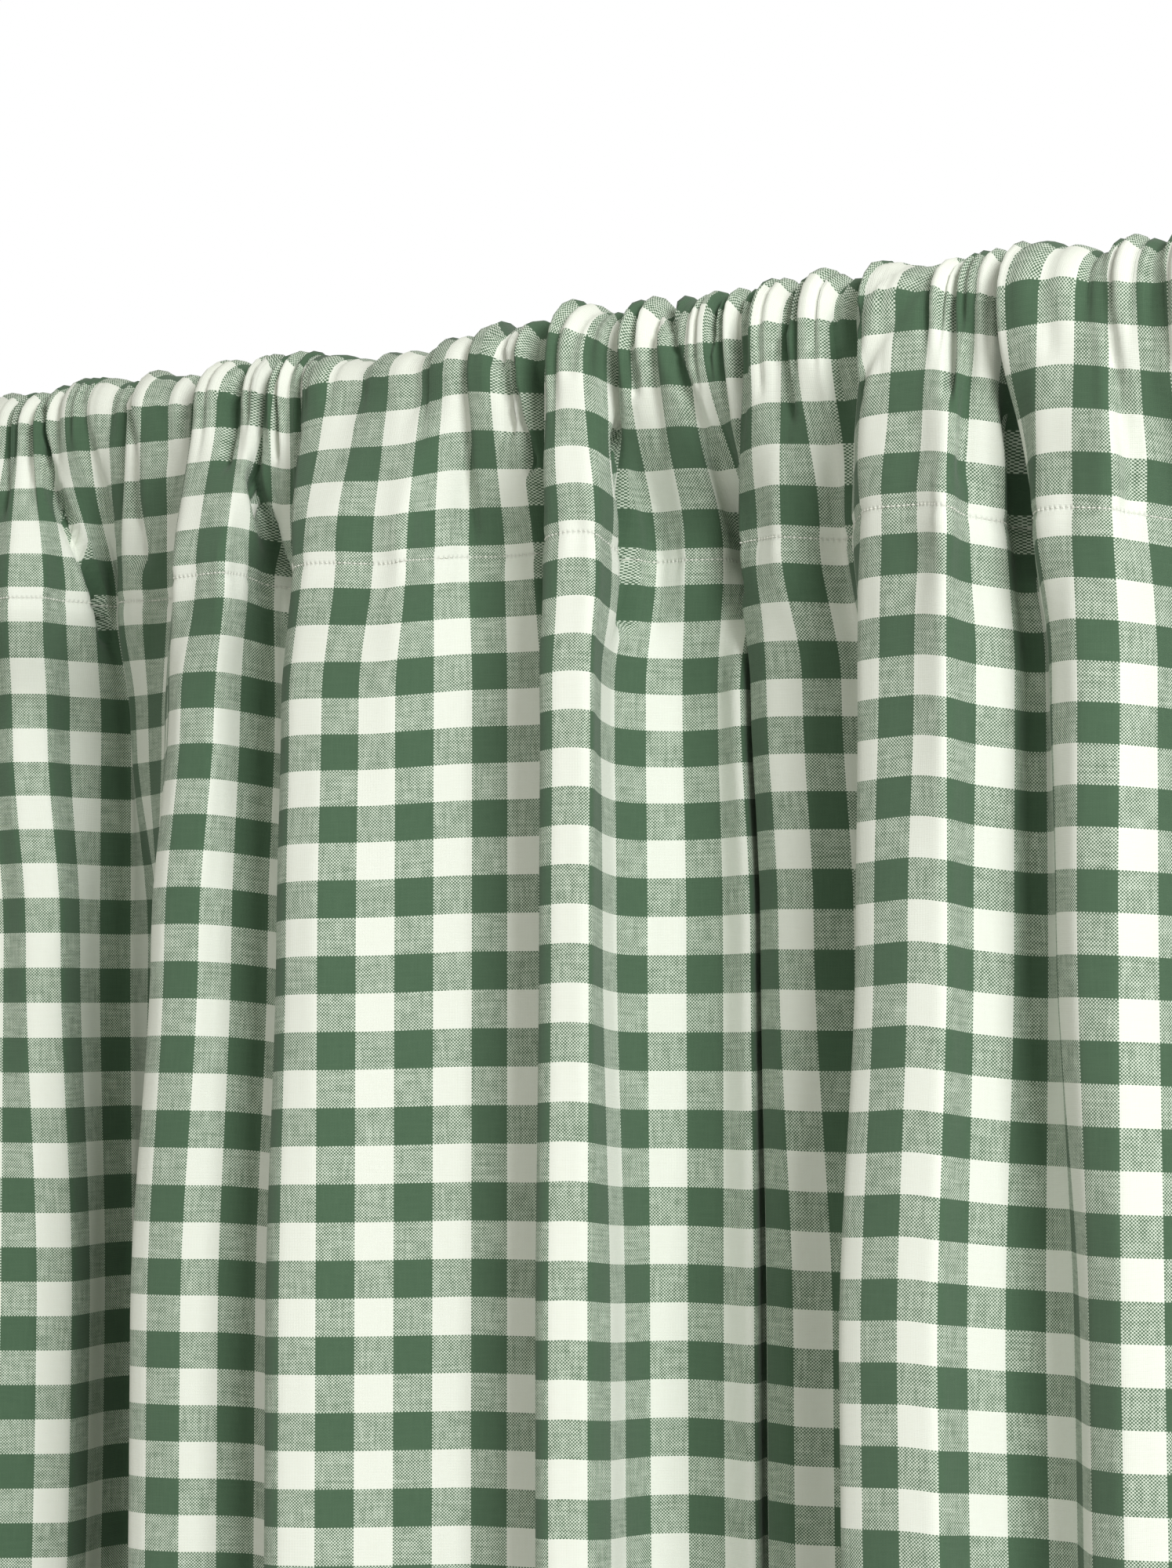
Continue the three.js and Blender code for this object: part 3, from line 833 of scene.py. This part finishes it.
# %% A mesh from a grid
def grid_mesh(name, points, across, down):
    """A mesh of four-sided faces through a grid of points in millimetres, with a
    UV map of the two given parameters. Rows run upwards, columns to the right."""
    rows, columns = points.shape[:2]
    number = np.arange(rows * columns).reshape(rows, columns)
    corners = [number[:-1, :-1], number[:-1, 1:], number[1:, 1:], number[1:, :-1]]
    faces = np.stack(corners, axis=-1).reshape(-1, 4)
    mesh = bpy.data.meshes.new(name)
    mesh.vertices.add(rows * columns)
    mesh.vertices.foreach_set("co", (points.reshape(-1) * MM).astype(np.float32))
    mesh.loops.add(faces.size)
    mesh.loops.foreach_set("vertex_index", faces.reshape(-1).astype(np.int32))
    mesh.polygons.add(len(faces))
    mesh.polygons.foreach_set("loop_start", np.arange(0, faces.size, 4, dtype=np.int32))
    flat = np.stack([across, down], axis=-1).reshape(-1, 2)[faces.reshape(-1)]
    layer = mesh.uv_layers.new(name="cloth")
    layer.data.foreach_set("uv", flat.reshape(-1).astype(np.float32))
    mesh.update(calc_edges=True)
    mesh.polygons.foreach_set("use_smooth", np.ones(len(faces), dtype=bool))
    return mesh


def add_piece(name, mesh):
    """An object for the mesh, at the origin."""
    piece = bpy.data.objects.new(name, mesh)
    bpy.context.scene.collection.objects.link(piece)
    return piece


print("faces that the grid will have:", (points.shape[0] - 1) * (points.shape[1] - 1))

# %% The panel
FIRST_BAND = -56.0  # height of the lower edge of a green band

panel = add_piece("gathered_panel", grid_mesh(
    "gathered_panel", points, cloth_across / CHECK_WIDE, (cloth_down - FIRST_BAND) / CHECK_TALL
))
solidify = panel.modifiers.new("thickness", "SOLIDIFY")
solidify.thickness = THICKNESS * MM
solidify.offset = -1
print("panel faces:", len(panel.data.polygons))

# %% [markdown]
# ## Stitches
#
# A machine's lock stitch looks the same on both sides: a row of short beads of
# thread that dip into the cloth at their ends. They could be drawn in the
# material, but real beads stand proud when the cloth is seen from the side.
# Each bead is a few rings of points around a piece of the cloth's own surface.
# All the rings are one array, bead by ring by point, so one formula places them.

# %% Points along a seam
def cloth_at(places, heights, depth, relief):
    """Points of the front sheet at pairs of a place and a height, with the
    heights between rows a millimetre apart."""
    rows = np.arange(heights.min() - 1, heights.max() + 2)
    grid = sheet_points(places, rows, depth, relief)
    rank = heights - rows[0]
    lower = rank.astype(int)
    share = (rank - lower)[:, None]
    column = np.arange(len(places))
    return grid[lower, column] * (1 - share) + grid[lower + 1, column] * share


def unit(vectors):
    """The same vectors, each of length 1."""
    return vectors / np.linalg.norm(vectors, axis=-1, keepdims=True)


anchor_point = cloth_at(np.array([float(ANCHOR)]), np.array([float(STITCHING)]), 0, 1)[0]
print("the anchor on the stitching, in mm:", np.round(anchor_point, 1))

# %% Beads of thread
STITCH = 1.35  # pitch along the pocket's seam
HEM_STITCH = 2.2
BEAD = 0.74  # length of a bead, as a share of the pitch
THREAD_RADIUS = 0.2
THREAD_LIFT = 0.12  # how far a bead's middle stands off the cloth
THREAD_SINK = 0.2  # how far its ends lie below that
BEAD_RINGS = np.array([-1, -0.72, 0, 0.72, 1])
BEAD_SIDES = 5
BEAD_BLUNT = 1.15  # above 1, so that a bead ends in a small disc


def bead_points(places, heights, towards, depth, side, relief):
    """The rings of all beads of one seam: bead by ring by point. towards is the
    half length of a bead as a step in place and in height, and side is 1 on the
    front of the cloth and -1 on its back."""
    ring = np.tile(BEAD_RINGS, len(places))
    ring_places = np.repeat(places, len(BEAD_RINGS)) + ring * towards[0]
    ring_heights = np.repeat(heights, len(BEAD_RINGS)) + ring * towards[1]
    middle = cloth_at(ring_places, ring_heights, depth, relief)
    step, rise = towards[0] / 4, towards[1] / 4
    along = unit(cloth_at(ring_places + step, ring_heights + rise, depth, relief) - middle)
    aside = cloth_at(ring_places - rise, ring_heights + step, depth, relief) - middle
    outwards = side * unit(np.cross(along, aside))
    middle = middle + outwards * (THREAD_LIFT - THREAD_SINK * ring**2)[:, None]
    radius = THREAD_RADIUS * np.sqrt(BEAD_BLUNT - ring**2)
    turn = 2 * np.pi * np.arange(BEAD_SIDES) / BEAD_SIDES
    beside = np.cross(along, outwards)[:, None]
    spoke = np.cos(turn)[:, None] * outwards[:, None] + np.sin(turn)[:, None] * beside
    rings = middle[:, None] + radius[:, None, None] * spoke
    return rings.reshape(len(places), len(BEAD_RINGS), BEAD_SIDES, 3)


print("length of a bead:", round(BEAD * STITCH, 2), "mm, on the hems:", round(BEAD * HEM_STITCH, 2), "mm")

# %% Every seam
EDGE_ROOM = 2  # from the end of a seam to the edge of the cloth
HEM_INSET = 2.0  # from a hem's inner edge to its stitches
HEM_FROM, HEM_TO = -DROP + 3, SEAM_HEIGHT - 4  # heights of the side hems' stitches


def seam_beads(side):
    """The pocket's seam, the bottom hem and the side hems, on one side of the cloth.
    On the back, the pocket's seam lies on the smooth back of the pocket."""
    depth, room, relief = (0, 0, 1) if side > 0 else (LAYER + THICKNESS, SEAM_ROOM, 0)
    half, hem_half = BEAD * STITCH / 2, BEAD * HEM_STITCH / 2
    inside = np.arange(LEFT_EDGE + EDGE_ROOM, RIGHT_EDGE - EDGE_ROOM, STITCH)
    low = np.arange(LEFT_EDGE + EDGE_ROOM, RIGHT_EDGE - EDGE_ROOM, HEM_STITCH)
    up = np.arange(HEM_FROM, HEM_TO, HEM_STITCH)
    level = np.full(len(low), -DROP + BOTTOM_HEM - HEM_INSET)
    left = np.full(len(up), LEFT_EDGE + SIDE_HEM - HEM_INSET)
    right = np.full(len(up), RIGHT_EDGE - SIDE_HEM + HEM_INSET)
    return np.concatenate([
        bead_points(inside, seam_height(inside), (half, 0), depth + room, side, relief),
        bead_points(low, level, (hem_half, 0), depth, side, 1),
        bead_points(left, up, (0, hem_half), depth, side, 1),
        bead_points(right, up, (0, hem_half), depth, side, 1),
    ])


beads = np.concatenate([seam_beads(1), seam_beads(-1)])
print("beads:", len(beads))

# %% One mesh of all the beads
def bead_mesh(name, beads):
    """One mesh of every bead: bands of quads between its rings, and two caps."""
    count, rings, sides = beads.shape[:3]
    first = np.arange(count)[:, None, None] * rings * sides
    ring = np.arange(rings - 1)[None, :, None] * sides
    turn = np.arange(sides)
    here = first + ring + turn
    beside = first + ring + (turn + 1) % sides
    bands = np.stack([here, beside, beside + sides, here + sides], axis=-1).reshape(-1, 4)
    near = first[:, 0] + turn[::-1]
    far = first[:, 0] + (rings - 1) * sides + turn
    mesh = bpy.data.meshes.new(name)
    faces = bands.tolist() + near.tolist() + far.tolist()
    mesh.from_pydata(beads.reshape(-1, 3) * MM, [], faces)
    mesh.polygons.foreach_set("use_smooth", np.ones(len(faces), dtype=bool))
    return mesh


stitches = add_piece("seam_stitches", bead_mesh("seam_stitches", beads))
print("stitch faces:", len(stitches.data.polygons))

# %% [markdown]
# ## Shader maths in Python
#
# A woven pattern is arithmetic on the UV map. Wiring dozens of Math nodes by
# hand is hard to follow, so one small class stands for a socket and turns
# Python's operators into Math nodes. Any other node comes from one function.

# %% Sockets that do arithmetic
def add_node(tree, kind, settings=None, inputs=None, output=0):
    """A node of any kind: its settings first, then values or links."""
    node = tree.nodes.new(kind)
    for name, value in (settings or {}).items():
        setattr(node, name, value)
    for name, value in (inputs or {}).items():
        if isinstance(value, Socket):
            tree.links.new(value.socket, node.inputs[name])
        else:
            node.inputs[name].default_value = value
    return Socket(tree, node.outputs[output])


class Socket:
    """An output socket, on which Python's operators add Math nodes."""

    def __init__(self, tree, socket):
        self.tree = tree
        self.socket = socket

    def maths(self, operation, *values):
        inputs = dict(enumerate(values))
        return add_node(self.tree, "ShaderNodeMath", {"operation": operation}, inputs)

    def __add__(self, other):
        return self.maths("ADD", self, other)

    def __radd__(self, other):
        return self.maths("ADD", other, self)

    def __sub__(self, other):
        return self.maths("SUBTRACT", self, other)

    def __rsub__(self, other):
        return self.maths("SUBTRACT", other, self)

    def __mul__(self, other):
        return self.maths("MULTIPLY", self, other)

    def __rmul__(self, other):
        return self.maths("MULTIPLY", other, self)

    def __abs__(self):
        return self.maths("ABSOLUTE", self)

    def __pow__(self, other):
        return self.maths("POWER", self, other)

    def __lt__(self, other):
        return self.maths("LESS_THAN", self, other)

    def __mod__(self, other):
        return self.maths("MODULO", self, other)

    def wave(self):
        """The sine of the value times pi: it changes sign at each whole number."""
        return self.maths("SINE", self * math.pi)

    def clamped(self):
        return add_node(self.tree, "ShaderNodeClamp", None, {"Value": self})


methods = [name.strip("_") for name in vars(Socket) if callable(getattr(Socket, name))]
print("a socket can:", methods)

# %% Colours and ends of a tree
def mixed(tree, share, first, second):
    """A colour between two colours, or sockets that hold them."""
    inputs = {"Factor": share, 6: first, 7: second}
    return add_node(tree, "ShaderNodeMix", {"data_type": "RGBA"}, inputs, output=2)


def finish_tree(tree, shader, kind="ShaderNodeOutputMaterial"):
    """The node that ends a tree, fed by a shader."""
    end = tree.nodes.new(kind)
    tree.links.new(shader.socket, end.inputs["Surface"])


def bare_material(name):
    """A material whose tree is still empty, and the tree."""
    material = bpy.data.materials.new(name)
    material.use_nodes = True
    material.node_tree.nodes.clear()
    return material, material.node_tree


print("materials so far:", len(bpy.data.materials))

# %% [markdown]
# ## Gingham
#
# Gingham is the simplest check there is. Both the lengthwise and the crosswise
# yarns come in equal stripes of white and one colour, and they are woven plain:
# over one, under one. Where two green stripes cross the cloth is green, where
# two white ones cross it is white, and elsewhere the surface is a fine
# chessboard of both, which reads as a lighter green from afar. So the material
# asks two questions at each point: which yarn is on top, and is it green?

# %% Colours of the yarns
GREEN_YARN = (0.051, 0.106, 0.058, 1)
GREEN_LIGHT = (0.085, 0.153, 0.090, 1)
WHITE_YARN = (0.83, 0.865, 0.80, 1)
WHITE_WARM = (0.77, 0.80, 0.71, 1)
# Painted bounce light: the white yarn is darker and greener where green yarns cross it.
BOUNCE_PAINTED_YARN = (0.665, 0.75, 0.64, 1)  # white yarn that green yarns cross, with the light they bounce on to it painted in
BOUNCE_PAINTED_WARM = (0.60, 0.685, 0.57, 1)


def yarn_noise(tree, across, along, across_scale, along_scale, seed):
    """Unevenness of yarns: noise drawn out along them, from 0 to 1."""
    place = add_node(tree, "ShaderNodeCombineXYZ", None, {
        "X": across * across_scale, "Y": along * along_scale, "Z": seed,
    })
    return add_node(tree, "ShaderNodeTexNoise", {"noise_dimensions": "3D"}, {
        "Vector": place, "Scale": 1.0, "Detail": 2.0, "Roughness": 0.55,
    })


def yarn_colour(tree, noise, green, crossed):
    """A yarn's colour. Where green yarns cross the white one, the light that bounces
    from one to the other is painted into the white as a darker, greener tint."""
    white = mixed(tree, noise, WHITE_WARM, WHITE_YARN)
    bounce_painted = mixed(tree, noise, BOUNCE_PAINTED_WARM, BOUNCE_PAINTED_YARN)
    dyed = mixed(tree, noise, GREEN_YARN, GREEN_LIGHT)
    return mixed(tree, green, mixed(tree, crossed, white, bounce_painted), dyed)


print("green yarn against white:", round(GREEN_YARN[1] / WHITE_YARN[1], 2))

# %% Dents of the stitches
# Painted shade: the colour that the cloth darkens towards in the stitches' dents.
DENT_SHADE_COLOUR = (0.38, 0.40, 0.35, 1)
DENT_NARROW = 12  # checks over the half width of the band of dents
DENT_EVEN = 0.9  # share of the dent that is gone at a stitch's middle
DENT_SHADE_SHARE = 0.4  # share of the painted shade's colour in a dent
DENT_DEEP = 5  # as against the crown of a yarn


def stitch_dents(across, along):
    """1 where the pocket's stitches pull the cloth in, most at their ends: a narrow
    band along the seam times a wave with the stitches' pitch. The bump sinks there, and painted shade
    darkens the colour."""
    seam_row = (STITCHING - FIRST_BAND) / CHECK_TALL
    band = (1 - abs(along - seam_row) * DENT_NARROW).clamped()
    first_end = 0.5 - (LEFT_EDGE + EDGE_ROOM) / STITCH
    middle = abs((across * (CHECK_WIDE / STITCH) + first_end).wave())
    return band * (1 - middle * DENT_EVEN)


print("the band of dents is", round(2 * CHECK_TALL / DENT_NARROW, 1), "mm high")

# %% The woven cloth
THREADS = 24  # in one check, each way
SLUB_SCALE = 1.3  # changes of a yarn along itself, for each check
WARP_SEED, WEFT_SEED = 3.0, 11.0
EVEN_CHECKS = 400  # added so that the remainder is never that of a negative number
YARN_EDGE = 1.9  # how sharply one yarn gives way to the next
UNEVEN_EDGE = 1.6  # and how much their unevenness moves that edge
UNEVEN_BUMP = 0.4
CROWN = 0.5  # power that rounds the top of a yarn
WEAVE_HEIGHT = 0.06


def striped(count):
    """1 on every second check, counted from a green one."""
    return (count + EVEN_CHECKS) % 2.0 < 1.0


def gingham():
    """The woven cloth, from the UV map alone, which counts in checks."""
    material, tree = bare_material("gingham_cloth")
    flat = add_node(tree, "ShaderNodeUVMap", {"uv_map": "cloth"})
    across = add_node(tree, "ShaderNodeSeparateXYZ", None, {"Vector": flat})
    along = Socket(tree, across.socket.node.outputs["Y"])

    warp_noise = yarn_noise(tree, across, along, THREADS / 2, SLUB_SCALE, WARP_SEED)
    weft_noise = yarn_noise(tree, across, along, SLUB_SCALE, THREADS / 2, WEFT_SEED)
    warp_green, weft_green = striped(across), striped(along)
    warp_colour = yarn_colour(tree, warp_noise, warp_green, weft_green)
    weft_colour = yarn_colour(tree, weft_noise, weft_green, warp_green)

    # Plain weave: the product of two waves is positive where the warp is on top.
    crossing = (across * THREADS).wave() * (along * THREADS).wave()
    uneven = (warp_noise - weft_noise) * UNEVEN_EDGE
    warp_on_top = (crossing * YARN_EDGE + uneven + 0.5).clamped()
    colour = mixed(tree, warp_on_top, weft_colour, warp_colour)

    dents = stitch_dents(across, along)
    # Painted shade in the dents of the stitches.
    colour = mixed(tree, dents * DENT_SHADE_SHARE, colour, DENT_SHADE_COLOUR)
    height = abs(crossing) ** CROWN + uneven * UNEVEN_BUMP - dents * DENT_DEEP
    bump = add_node(tree, "ShaderNodeBump", None, {
        "Height": height, "Distance": WEAVE_HEIGHT * MM, "Strength": 0.8,
    })
    finish_tree(tree, add_node(tree, "ShaderNodeBsdfPrincipled", None, {
        "Base Color": colour, "Roughness": 0.9, "Normal": bump,
        "Specular IOR Level": 0.25, "Sheen Weight": 0.12, "Sheen Roughness": 0.6,
    }))
    return material


panel.data.materials.append(gingham())
print("nodes in the gingham:", len(panel.data.materials[0].node_tree.nodes))

# %% [markdown]
# Sewing thread is spun from several fine yarns, and its twist shows as ridges
# across it. It has no UV map, so its ridges are a wave on Object coordinates,
# which is enough for something so thin.

# %% Spun thread
THREAD_LIGHT = (0.84, 0.85, 0.79, 1)
THREAD_GROOVE_SHADE = (0.66, 0.67, 0.60, 1)
TWIST_SCALE = 900.0
TWIST_HEIGHT = 0.04


def thread():
    """Spun thread: off-white, with fine diagonal ridges from its twist and painted shade in the grooves
    between them.
    """
    material, tree = bare_material("sewing_thread")
    place = add_node(tree, "ShaderNodeTexCoord", output=3)
    twist = add_node(tree, "ShaderNodeTexWave", {"bands_direction": "DIAGONAL"}, {
        "Vector": place, "Scale": TWIST_SCALE, "Distortion": 0.6,
    })
    bump = add_node(tree, "ShaderNodeBump", None, {
        "Height": twist, "Distance": TWIST_HEIGHT * MM, "Strength": 0.6,
    })
    finish_tree(tree, add_node(tree, "ShaderNodeBsdfPrincipled", None, {
        # Painted shade: the colour follows the twist's bump, darker in its grooves.
        "Base Color": mixed(tree, twist, THREAD_GROOVE_SHADE, THREAD_LIGHT),
        "Roughness": 0.75, "Normal": bump, "Sheen Weight": 0.1,
    }))
    return material


stitches.data.materials.append(thread())
print("nodes in the thread:", len(stitches.data.materials[0].node_tree.nodes))

# %% [markdown]
# ## Floor and light
#
# The floor is plain and pale, well below the hem. The light is a large soft
# lamp to the front right, with an even white room around it.

# %% Floor
FLOOR_HEIGHT = -1000
FLOOR_SIZE = 2600  # from its middle to a side
FLOOR_COLOUR = (0.88, 0.88, 0.87, 1)

floor_corners = np.array([[-1, -1], [1, -1], [1, 1], [-1, 1]]) * FLOOR_SIZE * MM
floor_mesh = bpy.data.meshes.new("floor")
floor_mesh.from_pydata([(x, y, FLOOR_HEIGHT * MM) for x, y in floor_corners], [], [(0, 1, 2, 3)])
floor = add_piece("floor", floor_mesh)
pale = bpy.data.materials.new("pale_floor")
pale.use_nodes = True
pale.node_tree.nodes["Principled BSDF"].inputs["Base Color"].default_value = FLOOR_COLOUR
floor_mesh.materials.append(pale)
print("floor:", 2 * FLOOR_SIZE, "mm wide,", -FLOOR_HEIGHT - DROP, "mm below the hem")

# %% Lamp
LAMP_PLACE = (1750, -980, 600)
LAMP_SIZE = 700
LAMP_POWER = 37  # watts
PANEL_MIDDLE = Vector((0, 0, -0.2))

lamp = bpy.data.lights.new("key_lamp", "AREA")
lamp.size = LAMP_SIZE * MM
lamp.energy = LAMP_POWER
key = bpy.data.objects.new("key_lamp", lamp)
key.location = [v * MM for v in LAMP_PLACE]
key.rotation_euler = (PANEL_MIDDLE - key.location).to_track_quat("-Z", "Y").to_euler()
bpy.context.scene.collection.objects.link(key)
print("lamp distance in m:", round((PANEL_MIDDLE - key.location).length, 2))

# %% White room
ROOM_GLOW = (1.0, 0.985, 0.9, 1)  # the light that the room gives
ROOM_STRENGTH = 0.48
BACKDROP = (1, 1, 1, 1)  # and what the camera sees of it

world = bpy.data.worlds.new("white_room")
world.use_nodes = True
bpy.context.scene.world = world
room = world.node_tree
room.nodes.clear()
seen = add_node(room, "ShaderNodeLightPath")
glow = add_node(room, "ShaderNodeBackground", None, {"Color": ROOM_GLOW, "Strength": ROOM_STRENGTH})
backdrop = add_node(room, "ShaderNodeBackground", None, {"Color": BACKDROP, "Strength": 1.0})
either = add_node(room, "ShaderNodeMixShader", None, {0: seen, 1: glow, 2: backdrop})
finish_tree(room, either, "ShaderNodeOutputWorld")
bpy.context.scene.view_settings.view_transform = "Standard"
print("nodes in the room:", len(room.nodes))

# %% [markdown]
# ## On the CAD body
#
# Each piece rides on the CAD body, and the CAD panel that the cloth stands for is hidden.

for piece in (panel, stitches):
    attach(piece, "root")
    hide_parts("curtain_panel")
